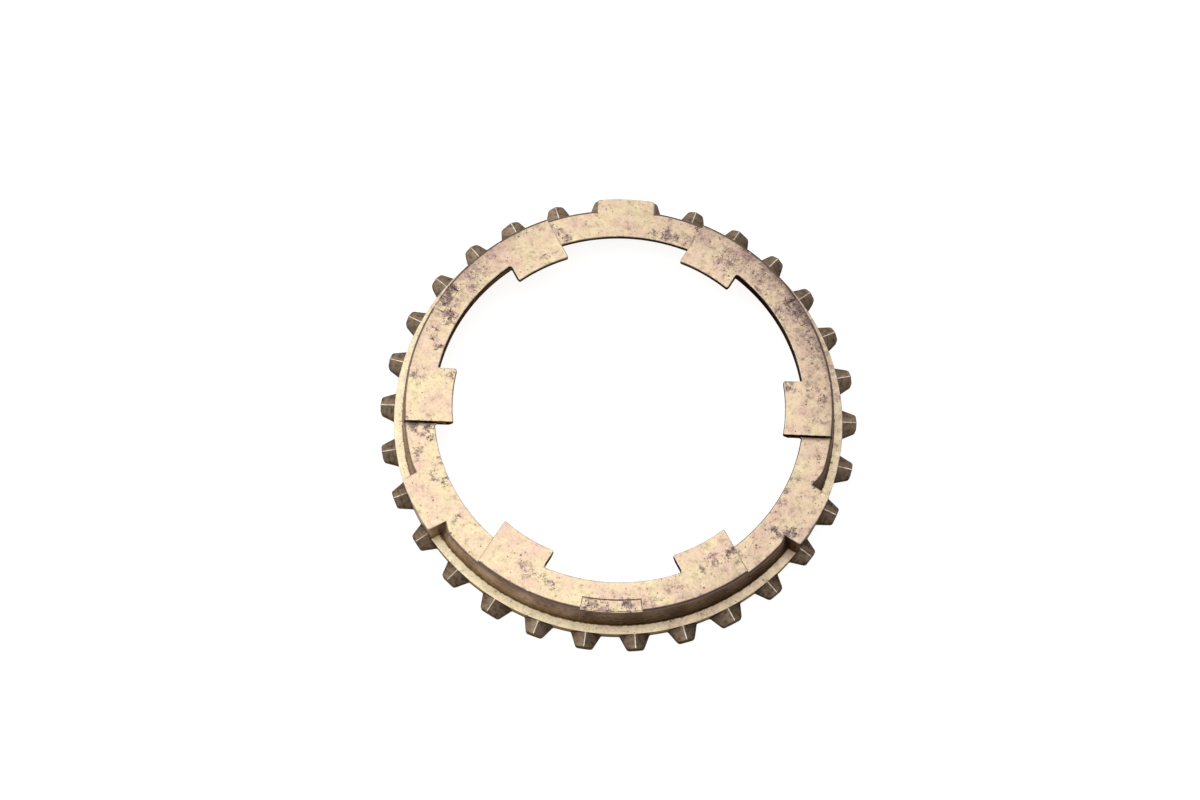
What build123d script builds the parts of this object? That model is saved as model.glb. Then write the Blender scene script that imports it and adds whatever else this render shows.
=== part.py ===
"""Outer synchronizer ring of a two-cone set, one piece of forged and machined brass.

The origin lies on the ring's axis in the plane of the flat gear side.  +Z points to the hub
side, where the lugs are, and +Y runs through the middle of one of the three outer blocks.
All sizes are in millimetres and degrees.
"""
import os
from math import cos, radians, sin, tan

from build123d import *

# Plan, from the hole outwards
HOLE_RADIUS = 35.5
WEB_WIDTH = 5.65
WALL_FLARE = 0.9
LEDGE_WIDTH = 1.7
TOOTH_LENGTH = 2.75

# Heights
TOOTH_HEIGHT = 2.55
WALL_HEIGHT = 6.95
WEB_THICKNESS = 2.6
STEP_HEIGHT = 1.35

# Dog teeth: widths across the tooth, and how steeply the roof falls from its ridge
TOOTH_COUNT = 30
TOOTH_ROOT_WIDTH = 5.7
TOOTH_TIP_WIDTH = 3.1
TOOTH_TIP_ROUND = 0.5
TOOTH_ROOT_ROUND = 0.35
ROOF_FALL = 31.0
RIDGE_LAND = 0.2

# Extra reach, towards the high arc, of the teeth in line with the lugs at 0, 60, 120 ... degrees
STOP_EXTRAS = (0.3, 0.75, 0.75, 0.3, 0.75, 0.75)

# Lugs reaching into the hole
ARC_COUNT = 3
LUG_WIDTH = 10.9
LUG_REACH = 3.6
LUG_THICKNESS = 1.9
LUG_BEVEL = 0.7
LUG_TIP_ROUND = 0.35
LUG_NOTCH_ROUND = 0.5

# Blocks standing on the ledge below the low arcs
BLOCK_WIDTH = 11.25
BLOCK_DRAFT = 2.5
BLOCK_ROUND = 0.3

# Shallow bare fields in the outer edge of the high arcs: half spans and width
FIELD_DEPTH = 0.3
FIELD_WIDTH = 2.4
FIELD_HALF_SPANS = (4.1, 4.1, 8.1)
FIELD_ANGLES = (30.0, 150.0, 270.0)

# Friction cone and its oil channels
CONE_WALL = 2.45
CONE_ANGLE = 6.5
MOUTH_CHAMFER = 0.4
CHANNEL_COUNT = 12
CHANNEL_WIDTH = 1.6
CHANNEL_DEPTH = 0.7

# Rounded outer edge of the top faces
TOP_ROUND = 0.6

# Sizes that follow from the ones above
TOP_RADIUS = HOLE_RADIUS + WEB_WIDTH
FOOT_RADIUS = TOP_RADIUS + WALL_FLARE
ROOT_RADIUS = FOOT_RADIUS + LEDGE_WIDTH
TIP_RADIUS = ROOT_RADIUS + TOOTH_LENGTH
HEIGHT = TOOTH_HEIGHT + WALL_HEIGHT
LOW_HEIGHT = HEIGHT - STEP_HEIGHT
UNDERSIDE = HEIGHT - WEB_THICKNESS
MOUTH_RADIUS = FOOT_RADIUS - CONE_WALL
PITCH = 360 / TOOTH_COUNT
BIG = 2 * TIP_RADIUS


def wall_radius(z):
    """Radius of the sloping outer wall at height z above the gear side."""
    return TOP_RADIUS + WALL_FLARE * (HEIGHT - z) / WALL_HEIGHT


def cone_radius(z):
    """Radius of the friction cone at height z; it narrows towards the web."""
    return MOUTH_RADIUS - z * tan(radians(CONE_ANGLE))


def upright(*points):
    """Closed outline in the plane of the axis, from (radius, height) pairs."""
    return Plane.XZ * make_face(Polyline(*points, close=True))


def turned(outline):
    """Solid made by turning an outline once round the axis."""
    return revolve(outline, Axis.Z, 360)


def disc(radius, low, high):
    """Plain disc on the axis between two heights."""
    return Pos(0, 0, low) * extrude(Circle(radius), high - low)


def low_sectors(floor):
    """Prisms over the low arcs from a height up, edged by the sides of the lugs beside them."""
    half = 180 / (2 * ARC_COUNT)
    apex = LUG_WIDTH / 2 / sin(radians(half))
    reach = BIG / cos(radians(half))
    left = (reach * sin(radians(half)), apex + reach * cos(radians(half)))
    wedge = make_face(Polyline((0, apex), left, (-left[0], left[1]), close=True))
    blank = Pos(0, 0, floor) * extrude(wedge, BIG)
    return [Rot(0, 0, 360 / ARC_COUNT * k) * blank for k in range(ARC_COUNT)]


def rim_and_wall(top):
    """Turned ring from the gear side up to a top face at the given height."""
    outline = upright(
        (HOLE_RADIUS - LUG_REACH / 2, 0), (ROOT_RADIUS, 0), (ROOT_RADIUS, TOOTH_HEIGHT),
        (FOOT_RADIUS, TOOTH_HEIGHT), (wall_radius(top), top), (HOLE_RADIUS - LUG_REACH / 2, top))
    edge = outline.vertices().sort_by(Axis.Z)[-2:].sort_by(Axis.X)[-1]
    return turned(fillet(edge, TOP_ROUND))


def lugs():
    """Six lugs with straight sides, a curved end and rounded corners, on a thin band."""
    tip, rear = HOLE_RADIUS - LUG_REACH, HOLE_RADIUS + WEB_WIDTH / 2
    bar = Pos(rear / 2, 0) * Rectangle(rear, LUG_WIDTH)
    plan = Circle(rear) - Circle(HOLE_RADIUS)
    plan += [Rot(0, 0, 180 / ARC_COUNT * k) * bar for k in range(2 * ARC_COUNT)]
    plan = (plan & Circle(rear)) - Circle(tip)
    for radius, size in ((tip, LUG_TIP_ROUND), (HOLE_RADIUS, LUG_NOTCH_ROUND)):
        corners = [v for v in plan.vertices() if abs((v.X ** 2 + v.Y ** 2) ** 0.5 - radius) < 0.01]
        plan = fillet(corners, size)
    low = HEIGHT - LUG_THICKNESS
    bevel = turned(upright((0, low - 1), (tip + LUG_BEVEL + 1, low - 1), (tip, low + LUG_BEVEL),
                           (0, low + LUG_BEVEL)))
    return Pos(0, 0, low) * extrude(plan, LUG_THICKNESS) - bevel


def near(vertex, points):
    """Whether a corner of a flat outline is one of the given points."""
    return any(abs(vertex.X - x) + abs(vertex.Y - y) < 0.01 for x, y in points)


def on_circle(radius, y):
    """Point of a circle round the axis at a given y, on the side of +X."""
    return ((radius ** 2 - y ** 2) ** 0.5, y)


def dog_tooth(left=0, right=0):
    """One tooth along +X: trapezium in plan, roof with a narrow flat ridge on top.

    The flanks on either side can stand a little further out than on the common teeth.
    """
    neck = ROOT_RADIUS - LEDGE_WIDTH / 2
    side = neck * sin(radians(PITCH / 2))
    root, tip = TOOTH_ROOT_WIDTH / 2, TOOTH_TIP_WIDTH / 2
    feet = [on_circle(ROOT_RADIUS, -root - right), on_circle(ROOT_RADIUS, root + left)]
    ends = [on_circle(TIP_RADIUS, -tip - right), on_circle(TIP_RADIUS, tip + left)]
    outline = [
        Polyline(ends[1], feet[1], on_circle(ROOT_RADIUS, side), (neck, side), (neck, -side),
                 on_circle(ROOT_RADIUS, -side), feet[0], ends[0]),
        ThreePointArc(ends[0], (TIP_RADIUS, 0), ends[1])]
    plan = make_face(outline)
    for points, size in ((ends, TOOTH_TIP_ROUND), (feet, TOOTH_ROOT_ROUND)):
        plan = fillet([v for v in plan.vertices() if near(v, points)], size)
    land, fall = RIDGE_LAND / 2, tan(radians(ROOF_FALL))
    drop = TOOTH_HEIGHT - (side - land) * fall
    roof = Plane.YZ * make_face(Polyline(
        (-side, -1), (side, -1), (side, drop), (land, TOOTH_HEIGHT), (-land, TOOTH_HEIGHT),
        (-side, drop), close=True))
    return extrude(plan, TOOTH_HEIGHT) & extrude(roof, BIG)


def tooth_at(angle):
    """Tooth for an angle: those in line with a lug reach further towards the high arc."""
    place = angle * ARC_COUNT / 180
    if abs(place - round(place)) > 0.01:
        return dog_tooth()
    extra = STOP_EXTRAS[round(place)]
    return dog_tooth(left=extra) if round(place) % 2 == 0 else dog_tooth(right=extra)


def block():
    """Outer block under the middle of a low arc, flush with it, with a little draft."""
    fall = LOW_HEIGHT - TOOTH_HEIGHT / 2
    top = BLOCK_WIDTH / 2
    foot = top + fall * tan(radians(BLOCK_DRAFT))
    section = Plane.XZ * make_face(Polyline(
        (-foot, LOW_HEIGHT - fall), (foot, LOW_HEIGHT - fall), (top, LOW_HEIGHT),
        (-top, LOW_HEIGHT), close=True))
    start = wall_radius(LOW_HEIGHT) - WEB_WIDTH / 2
    prism = extrude(section, -BIG) - Pos(0, start / 2, 0) * Box(BIG, start, BIG)
    solid = prism & disc(ROOT_RADIUS, 0, LOW_HEIGHT)
    corners = [e for e in solid.edges() if e.bounding_box().size.Z > fall / 2
               and e.center().Y > ROOT_RADIUS - 1.5 * LEDGE_WIDTH]
    return fillet(corners, BLOCK_ROUND)


def friction_cone():
    """Cutter for the inside: mouth chamfer, friction cone and underside of the web."""
    return turned(upright(
        (0, -1), (MOUTH_RADIUS + MOUTH_CHAMFER + 1, -1), (MOUTH_RADIUS + MOUTH_CHAMFER, 0),
        (cone_radius(MOUTH_CHAMFER), MOUTH_CHAMFER), (cone_radius(UNDERSIDE), UNDERSIDE),
        (0, UNDERSIDE)))


def oil_channels():
    """Cutters for the lengthwise channels across the friction cone."""
    sleeve = turned(upright(
        (cone_radius(-1) + CHANNEL_DEPTH, -1), (cone_radius(-1) - 2, -1),
        (cone_radius(UNDERSIDE) - 2, UNDERSIDE), (cone_radius(UNDERSIDE) + CHANNEL_DEPTH, UNDERSIDE)))
    bar = Pos(MOUTH_RADIUS, 0, HEIGHT / 2) * Box(MOUTH_RADIUS / 2, CHANNEL_WIDTH, 3 * HEIGHT)
    slot = sleeve & bar
    turn = 360 / CHANNEL_COUNT
    return [Rot(0, 0, turn * (k + 0.5)) * slot for k in range(CHANNEL_COUNT)]


def field(angle, half_span):
    """Cutter for one shallow field, open at the outer edge of the top face."""
    inner = TOP_RADIUS - FIELD_WIDTH
    far = BIG
    wedge = make_face(Polyline(
        (0, 0), (far * cos(radians(half_span)), -far * sin(radians(half_span))),
        (far * cos(radians(half_span)), far * sin(radians(half_span))), close=True))
    plan = (Circle(FOOT_RADIUS) - Circle(inner)) & wedge
    return Rot(0, 0, angle) * Pos(0, 0, HEIGHT - FIELD_DEPTH) * extrude(plan, HEIGHT)


def synchronizer_ring():
    """The whole ring as one solid."""
    high = rim_and_wall(HEIGHT) - low_sectors(0)
    ring = rim_and_wall(LOW_HEIGHT) + high
    ring -= friction_cone()
    ring -= disc(HOLE_RADIUS, UNDERSIDE - 1, HEIGHT + 1)
    ring += lugs() - low_sectors(LOW_HEIGHT)
    teeth = [Rot(0, 0, PITCH * k) * tooth_at(PITCH * k) for k in range(TOOTH_COUNT)]
    blocks = [Rot(0, 0, 360 / ARC_COUNT * k) * block() for k in range(ARC_COUNT)]
    ring = ring + teeth + blocks
    ring -= oil_channels()
    ring -= [field(a, s) for a, s in zip(FIELD_ANGLES, FIELD_HALF_SPANS)]
    return ring


os.makedirs("parts", exist_ok=True)
solid = synchronizer_ring()
export_step(solid, "parts/synchronizer_ring.step")
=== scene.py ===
"""Looks of the brass synchronizer ring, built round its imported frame.

The ring body is one closed skin whose section is swept round the axis, column by column, so
that every machined edge is truly rounded.  The dog teeth and the scraping thread are Geometry
Nodes.  Sizes are millimetres and degrees, in the row's frame: +Z is the hub side and +Y runs
through the middle of one outer block.
"""
import logging
import math
from dataclasses import dataclass, replace
from enum import Enum
from functools import partial
from typing import Any, Callable, Sequence

import bmesh
import bpy
from mathutils import Matrix, Vector

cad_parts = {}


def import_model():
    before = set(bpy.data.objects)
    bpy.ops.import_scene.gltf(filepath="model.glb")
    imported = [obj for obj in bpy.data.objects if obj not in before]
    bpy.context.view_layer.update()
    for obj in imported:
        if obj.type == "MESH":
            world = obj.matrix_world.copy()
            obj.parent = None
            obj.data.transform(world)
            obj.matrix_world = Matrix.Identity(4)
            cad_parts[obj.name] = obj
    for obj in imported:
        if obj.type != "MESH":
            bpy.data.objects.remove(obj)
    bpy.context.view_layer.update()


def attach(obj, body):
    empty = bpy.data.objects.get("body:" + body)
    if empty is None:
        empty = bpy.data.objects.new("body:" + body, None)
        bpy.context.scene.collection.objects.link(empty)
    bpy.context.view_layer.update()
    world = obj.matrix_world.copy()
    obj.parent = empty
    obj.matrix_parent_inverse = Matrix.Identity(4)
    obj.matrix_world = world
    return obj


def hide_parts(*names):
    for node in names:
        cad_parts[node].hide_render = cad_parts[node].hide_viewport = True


MM = 0.001
TINY = 1e-9
NODE = "synchronizer_ring"
STAIN_SPREAD = 1.7
LOG = logging.getLogger("synchronizer_ring")

Point = tuple[float, float]
Place = tuple[float, float, float]
Track = Callable[[float, float], float]
Tree = bpy.types.NodeTree
Node = bpy.types.Node
Socket = bpy.types.NodeSocket
Feed = Node | Socket | float | tuple[float, ...]
Inputs = Sequence[Feed] | dict[str | int, Feed | bpy.types.ID]


class Skin(Enum):
    """Kinds of surface, by their place on the finish's scale from raw to rubbed."""

    # The darkest tone is painted shade, on the bore, the sides of the lugs and the steps.
    SHADE = 0.0
    FLANK = 0.15
    WALL = 0.3
    ROOF = 0.5
    TURNED = 0.75
    RUBBED = 1.0


def linear(hex_colour: str) -> tuple[float, float, float, float]:
    """Turn an sRGB hex colour into the linear values that a shader takes.

    Args:
        hex_colour: six hex digits, with or without a leading hash.

    Returns:
        Linear red, green and blue, and an alpha of one.
    """
    digits = hex_colour.lstrip("#")
    values = [int(digits[i:i + 2], 16) / 255 for i in (0, 2, 4)]
    red, green, blue = (
        v / 12.92 if v <= 0.04045 else ((v + 0.055) / 1.055) ** 2.4 for v in values)
    return red, green, blue, 1.0


def per_mm(size: float) -> float:
    """Texture scale, in cycles per metre, of a pattern whose features are size mm wide."""
    return 1 / (size * MM)


def add_node(tree: Tree, kind: str, inputs: Inputs = (), **settings: Any) -> Node:
    """Add a node, set its properties and fill or link its inputs.

    A Map Range takes its value, the two ends of its span and what it gives at each end.

    Args:
        tree: the node tree that the node goes into.
        kind: the node's type name.
        inputs: what the node's first inputs take, in order, or what each input takes by its name
            or number.  A node stands for its first output.
        settings: properties of the node itself.

    Returns:
        The new node.
    """
    node = tree.nodes.new(kind)
    for name, value in settings.items():
        setattr(node, name, value)
    for key, value in inputs.items() if isinstance(inputs, dict) else enumerate(inputs):
        if isinstance(value, Node):
            value = value.outputs[0]
        if isinstance(value, Socket):
            tree.links.new(value, node.inputs[key])
        else:
            node.inputs[key].default_value = value
    return node


def beside(axis: float, offset: float) -> Track:
    """Track that keeps a fixed distance beside a radial line.

    Args:
        axis: angle of the radial line, in degrees from the lug's centre line.
        offset: distance from that line, positive towards the low arc.

    Returns:
        A function of radius and height that gives the track's angle in radians.
    """
    return lambda radius, height: math.radians(axis) + math.asin(offset / radius)


def between(first: Track, last: Track, share: float) -> Track:
    """Track a given share of the way from one track to another."""
    return lambda radius, height: (
        (1 - share) * first(radius, height) + share * last(radius, height))


@dataclass(frozen=True)
class Column:
    """One section of the ring body: where it runs in plan and what it passes through.

    A margin is the distance in plan from a sharp edge that is rounded.
    """

    track: Track
    top: float
    bore: float
    on_lug: bool = False
    lug_margin: float = 0.0
    step_margin: float = math.inf
    field_drop: float = 0.0
    channel: float = 0.0
    block_reach: float = 0.0
    block_margin: float = 0.0
    scoop: float = 0.0


@dataclass(frozen=True)
class RingSizes:
    """Driving sizes of the ring.

    They are the same as in the part's source, apart from the fields' border and the rounds of
    edges and rim, which are only here.
    """

    hole_radius: float = 35.5
    web_width: float = 5.65
    wall_flare: float = 0.9
    ledge_width: float = 1.7
    tooth_length: float = 2.75
    tooth_height: float = 2.55
    wall_height: float = 6.95
    field_depth: float = 0.3
    field_width: float = 2.4
    field_border: float = 0.2
    web_thickness: float = 2.6
    step_height: float = 1.35
    top_round: float = 0.6
    edge_round: float = 0.15
    rim_round: float = 0.1

    @property
    def top_radius(self) -> float:
        """Radius of the outer wall at the high top face."""
        return self.hole_radius + self.web_width

    @property
    def rim_radius(self) -> float:
        """Radius of the ledge's outer edge, where the teeth stand."""
        return self.top_radius + self.wall_flare + self.ledge_width

    @property
    def field_edge(self) -> float:
        """Radius of the inner side of the sunk fields."""
        return self.top_radius - self.field_width

    @property
    def high(self) -> float:
        """Height of the high arcs."""
        return self.tooth_height + self.wall_height

    @property
    def low(self) -> float:
        """Height of the low arcs."""
        return self.high - self.step_height

    def wall(self, height: float) -> float:
        """Radius of the sloping outer wall at a height."""
        return self.top_radius + self.wall_flare * (self.high - height) / self.wall_height


def drop(margin: float, size: float) -> float:
    """How far a rounded edge has fallen at a distance from the sharp edge.

    Args:
        margin: distance from the sharp edge.
        size: radius of the round.

    Returns:
        The fall, which is nought beyond the round.
    """
    if margin >= size:
        return 0.0
    inside = size - max(margin, 0.0)
    return size - math.sqrt(size ** 2 - inside ** 2)


@dataclass(frozen=True)
class RingBody:
    """Web, lugs, wall, ledge, blocks and friction cone as one closed skin.

    A scoop is where the tool ran out into the wall beside a block.  It is deepest at its top,
    and the depths and runs are listed lug by lug.  Steps count columns or points of the mesh.
    """

    sizes: RingSizes = RingSizes()
    lug_width: float = 10.9
    lug_reach: float = 3.6
    lug_thickness: float = 1.9
    lug_bevel: float = 0.7
    lug_tip_round: float = 0.35
    lug_notch_round: float = 0.5
    lug_split: float = 0.45
    face_split: float = 1.6
    block_width: float = 11.25
    block_draft: float = 2.5
    block_round: float = 0.3
    round_middle: float = 0.3
    field_spans: tuple[float, float, float] = (4.1, 4.1, 8.1)
    scoop_depths: tuple[float, ...] = (1.3, 0.2, 0.2, 0.25, 1.1, 0.6)
    scoop_runs: tuple[float, ...] = (4.2, 1.5, 1.5, 2.8, 3.0, 2.0)
    scoop_foot: float = 0.2
    scoop_fade: float = 1.6
    cone_wall: float = 2.45
    cone_angle: float = 6.5
    mouth_chamfer: float = 0.4
    channel_width: float = 1.6
    channel_depth: float = 0.7
    lugs: int = 6
    half_sector: float = 30.0
    field_steps: int = 7
    arc_steps: int = 5
    lug_steps: int = 5
    notch_steps: int = 4
    low_steps: int = 4
    scoop_steps: int = 12
    block_steps: int = 6
    bore_steps: int = 5
    same_place: float = 0.002

    @property
    def mouth_radius(self) -> float:
        """Radius of the friction cone at the gear side."""
        return self.sizes.wall(self.sizes.tooth_height) - self.cone_wall

    def cone(self, height: float) -> float:
        """Radius of the friction cone at a height."""
        return self.mouth_radius - height * math.tan(math.radians(self.cone_angle))

    def block_track(self, offset: float) -> Track:
        """Track through a block, which is wider at its foot by its draft.

        Args:
            offset: distance from the block's centre line at the low arcs' height.

        Returns:
            The track.
        """
        half, slope = self.block_width / 2, math.tan(math.radians(self.block_draft))

        def track(radius: float, height: float) -> float:
            """Angle of the track at a radius and height."""
            spread = offset * (1 + (self.sizes.low - height) * slope / half)
            return math.radians(self.half_sector) - math.asin(spread / radius)
        return track

    def channel_columns(self, axis: float, plain: Column) -> list[Column]:
        """Columns across one oil channel, doubled where its sides stand.

        Args:
            axis: angle of the channel, in degrees from the lug's centre line.
            plain: column of the arc that the channel runs under.

        Returns:
            The columns in order.
        """
        half = self.channel_width / 2
        shallow, deep = plain, replace(plain, channel=self.channel_depth)
        cuts = ((-half, shallow), (-half, deep), (0, deep), (half, deep), (half, shallow))
        return [replace(column, track=beside(axis, offset)) for offset, column in cuts]

    def fan(self, first: Track, last: Track, count: int, plain: Column) -> list[Column]:
        """Even columns between two tracks, without either end."""
        return [replace(plain, track=between(first, last, k / (count + 1)))
                for k in range(1, count + 1)]

    def arc_columns(self, field_span: float) -> list[Column]:
        """Columns of half a high arc, from its middle to the lug's near side.

        Args:
            field_span: degrees from the middle of the arc to the end of its sunk field.

        Returns:
            The columns in order.
        """
        s, mid = self.sizes, -self.half_sector
        plain = Column(beside(mid, 0), s.high, s.hole_radius)
        sunk = replace(plain, field_drop=s.field_depth)
        turns = [field_span * k / self.field_steps for k in range(self.field_steps)]
        turns += [field_span - math.degrees(s.field_border / s.top_radius), field_span]
        columns = [replace(sunk, track=beside(mid + turn, 0)) for turn in turns]
        columns.append(replace(plain, track=columns[-1].track))
        channel = self.channel_columns(-self.half_sector / 2, plain)
        columns += self.fan(columns[-1].track, channel[0].track, self.arc_steps, plain) + channel
        notch = [replace(plain, track=beside(0, -offset), bore=bore)
                 for offset, bore in self.notch()]
        columns += self.fan(channel[-1].track, notch[0].track, self.arc_steps, plain)
        return columns + notch

    def notch(self) -> list[Point]:
        """Rounded corner between web and lug.

        Returns:
            Pairs of a distance from the lug's centre line and the bore's radius there.
        """
        size, far = self.lug_notch_round, self.lug_width / 2 + self.lug_notch_round
        turns = [math.radians(90 * k / self.notch_steps) for k in range(self.notch_steps + 1)]
        return [(far - size * math.sin(a), self.sizes.hole_radius - size * (1 - math.cos(a)))
                for a in turns]

    def lug_columns(self) -> list[Column]:
        """Columns across one lug, from the high arc to the step.

        Returns:
            The columns in order.
        """
        s, half, size = self.sizes, self.lug_width / 2, self.lug_tip_round
        flat = half - size
        tip = s.hole_radius - self.lug_reach
        corner = [flat + size * share for share in (0.3, 0.57, 0.8, 0.93, 1.0)]
        inner = [flat * k / self.lug_steps for k in range(-self.lug_steps, self.lug_steps + 1)]
        columns = []
        for offset in [-o for o in reversed(corner)] + inner + corner:
            past = max(abs(offset) - flat, 0.0)
            columns.append(Column(
                beside(0, offset), s.high, tip + size - math.sqrt(size ** 2 - past ** 2),
                on_lug=True, lug_margin=half - abs(offset), step_margin=half - offset))
        return columns

    def low_columns(self, lug: int) -> list[Column]:
        """Columns of half a low arc, from the step to the middle of the block.

        Args:
            lug: which lug the arc starts at, counted from nought.

        Returns:
            The columns in order.
        """
        s = self.sizes
        plain = Column(beside(0, 0), s.low, s.hole_radius)
        columns = [replace(plain, track=beside(0, offset), bore=bore)
                   for offset, bore in reversed(self.notch())]
        channel = self.channel_columns(self.half_sector / 2, plain)
        half, size = self.block_width / 2, self.block_round
        side = self.block_track(half)
        columns += self.fan(columns[-1].track, channel[0].track, self.low_steps, plain) + channel
        count, deepest = self.scoop_steps, self.scoop_depths[lug]
        span = s.top_radius * math.radians(self.half_sector / 2) - half - self.channel_width / 2
        for k, column in enumerate(self.fan(channel[-1].track, side, count, plain), 1):
            near = max(0.0, 1 - span * (1 - k / (count + 1)) / self.scoop_runs[lug])
            columns.append(replace(column, scoop=deepest * near ** self.scoop_fade))
        columns.append(replace(plain, track=side, scoop=deepest))
        flat = half - size
        corner = [flat + size * share for share in (1.0, 0.85, 0.5, 0.0)]
        inner = [flat * k / self.block_steps for k in reversed(range(self.block_steps))]
        for offset in corner + inner:
            past = max(offset - flat, 0.0)
            reach = s.rim_radius - size + math.sqrt(size ** 2 - past ** 2)
            columns.append(replace(plain, track=self.block_track(offset), block_reach=reach,
                                   block_margin=half - offset,
                                   scoop=deepest if offset == half else 0.0))
        return columns

    def wall(self, c: Column, height: float) -> float:
        """Radius of the outer wall in a column, with the tool's run-out beside a block.

        Args:
            c: the column.
            height: height on the wall.

        Returns:
            The radius.
        """
        s = self.sizes
        share = (height - s.tooth_height) / (s.low - s.tooth_height)
        return s.wall(height) - c.scoop * (self.scoop_foot + (1 - self.scoop_foot) * share)

    def outside(self, c: Column) -> list[Point]:
        """Section from the gear side up the outside to the start of the top face.

        Args:
            c: the column.

        Returns:
            Pairs of a radius and a height.
        """
        s = self.sizes
        rim, crest, soft, edge = s.rim_radius, s.tooth_height, s.rim_round, s.edge_round
        soft_mid, edge_mid = self.round_middle * soft, self.round_middle * edge
        points = [(rim - soft, 0.0), (rim - soft_mid, soft_mid), (rim, soft), (rim, crest - soft)]
        shoulder = self.wall(c, c.top - s.top_round)
        if c.block_reach:
            face = c.block_reach
            fallen = drop(c.block_margin, edge)
            return points + [
                (max(rim - soft_mid, face), crest - soft_mid), (max(rim - soft, face), crest),
                (face, crest + soft / 2), (face, crest + soft), (face, crest + edge),
                (face, (crest + c.top) / 2), (face, c.top - edge - fallen),
                (face - edge_mid, c.top - edge_mid - fallen), (face - edge, c.top - fallen),
                (self.wall(c, c.top), c.top - fallen),
                (shoulder - s.top_round / 2, c.top - fallen / 2), (shoulder - s.top_round, c.top)]
        foot = self.wall(c, crest)
        joint = s.low - s.top_round
        points += [(rim - soft_mid, crest - soft_mid), (rim - soft, crest), (foot + edge, crest),
                   (foot + edge_mid, crest + edge_mid),
                   (self.wall(c, crest + edge), crest + edge), (self.wall(c, joint), joint)]
        fallen = drop(c.step_margin, edge)
        for turn in (0, 15, 30, 45, 67.5, 90):
            angle = math.radians(turn)
            height = c.top - s.top_round * (1 - math.sin(angle)) - fallen
            points.append((shoulder - s.top_round * (1 - math.cos(angle)),
                           min(height, c.top - c.field_drop)))
        return points

    def top_face(self, c: Column) -> list[Point]:
        """Section inwards over the top face and its inner edge.

        Beside a lug the plain columns run on down the bore, so that the faces which close the
        lug's sides keep their area.

        Args:
            c: the column.

        Returns:
            Pairs of a radius and a height.
        """
        s, edge = self.sizes, self.sizes.edge_round
        root = s.hole_radius - self.lug_notch_round
        fallen = drop(c.step_margin, edge)
        corner = 1 - math.sqrt(0.5)
        radii = [(s.field_edge + s.field_border, c.field_drop), (s.field_edge, c.field_drop),
                 (s.field_edge, 0.0), (s.hole_radius + self.face_split, 0.0),
                 (s.hole_radius + edge, 0.0)]
        points = [(radius, c.top - sunk - fallen) for radius, sunk in radii]
        if not c.on_lug:
            points += [(c.bore + edge, c.top), (c.bore + corner * edge, c.top - corner * edge),
                       (c.bore, c.top - edge)]
            depth = c.top - edge - (s.high - self.lug_thickness + s.rim_round)
            return points + [(c.bore, c.top - edge - depth * k / self.bore_steps)
                             for k in range(1, self.bore_steps)]
        inner = [root + edge, root + corner * edge, root,
                 c.bore + self.lug_split * (root - c.bore), c.bore + edge,
                 c.bore + corner * edge, c.bore]
        for radius in inner:
            margin = min(c.step_margin, max(radius - root, min(radius - c.bore, c.lug_margin)))
            points.append((radius, c.top - drop(margin, edge)))
        return points

    def inside(self, c: Column) -> list[Point]:
        """Section down the bore, under the web and down the friction cone to the mouth.

        Args:
            c: the column.

        Returns:
            Pairs of a radius and a height.
        """
        s, soft = self.sizes, self.sizes.rim_round
        belly, under = s.high - self.lug_thickness, s.high - s.web_thickness
        if c.on_lug:
            points = [(c.bore, belly + self.lug_bevel), (c.bore + self.lug_bevel, belly),
                      (s.hole_radius - self.lug_notch_round, belly)]
        else:
            points = [(c.bore, belly + soft), (c.bore, belly), (c.bore, belly)]
        hole, chamfer, depth = s.hole_radius, self.mouth_chamfer, c.channel
        mouth = max(self.mouth_radius + chamfer, self.cone(0) + depth)
        return points + [
            (hole, belly), (hole, under + soft), (hole + soft, under), (self.cone(under), under),
            (self.cone(under) + depth, under), (self.cone(chamfer) + depth, chamfer), (mouth, 0.0),
            (self.mouth_radius + self.channel_depth, 0.0)]

    def columns(self) -> list[tuple[int, Column]]:
        """All columns round the ring.

        Returns:
            Pairs of a signed lug number and a column: lugs are numbered from 1, and the sign
            says on which side of the lug the low arc lies.
        """
        placed = []
        for lug in range(self.lugs):
            half = self.arc_columns(self.field_spans[lug // 2]) + self.lug_columns()
            half += self.low_columns(lug)
            if lug % 2 == 0:
                half.reverse()
            placed += [((lug + 1) * (1 if lug % 2 else -1), column) for column in half[:-1]]
        return placed

    def mesh(self) -> bpy.types.Mesh:
        """Sweep the section round the axis and close the skin.

        Returns:
            The mesh, in metres.
        """
        skin = bmesh.new()
        rings = []
        for lug, column in self.columns():
            axis = math.radians(2 * self.half_sector * (abs(lug) - 1))
            ring = []
            section = self.outside(column) + self.top_face(column) + self.inside(column)
            for radius, height in section:
                angle = axis + math.copysign(1, lug) * column.track(radius, height)
                place = (radius * math.cos(angle), radius * math.sin(angle), height)
                ring.append(skin.verts.new(Vector(place) * MM))
            rings.append(ring)
        for near, far in zip(rings, rings[1:] + rings[:1]):
            for k, corner in enumerate(near):
                following = (k + 1) % len(near)
                skin.faces.new((corner, far[k], far[following], near[following]))
        bmesh.ops.remove_doubles(skin, verts=skin.verts, dist=self.same_place * MM)
        mesh = bpy.data.meshes.new("ring_body")
        skin.to_mesh(mesh)
        skin.free()
        return mesh


@dataclass(frozen=True)
class ToothRow:
    """A group of equal dog teeth and where they stand round the rim."""

    name: str
    count: int
    first: float
    step: float
    skip_every: int = 0
    left: float = 0.0
    right: float = 0.0


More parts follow.
